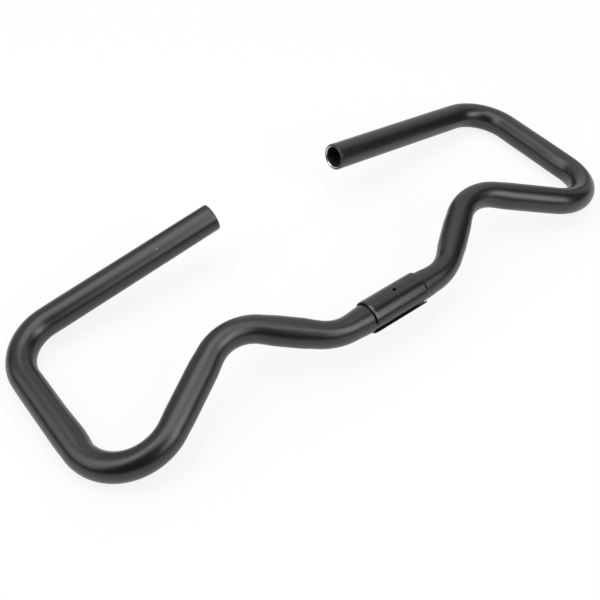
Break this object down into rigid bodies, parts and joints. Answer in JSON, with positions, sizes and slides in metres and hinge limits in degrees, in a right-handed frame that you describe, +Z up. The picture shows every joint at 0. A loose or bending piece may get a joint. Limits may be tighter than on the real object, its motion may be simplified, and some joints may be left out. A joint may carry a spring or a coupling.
{
  "type": "bicycle handlebar",
  "caption": "Bent tubular multi-position bicycle handlebar with open grip ends, looped sides and a split sleeve round its middle for the stem clamp.",
  "frame": {"origin": "middle of the clamp, on the clamp straight's axis", "axes": "+X along the clamp axis to the right grip, +Y back to the grips, +Z up, with the side tubes level"},
  "size_m": [0.5108, 0.172, 0.0529],
  "materials": {
    "tube_paint": "satin",
    "sleeve_paint": "satin"
  },
  "bodies": {
    "root": {"handlebar_tube": "tube_paint", "clamp_sleeve": "sleeve_paint"}
  },
  "joints": []
}
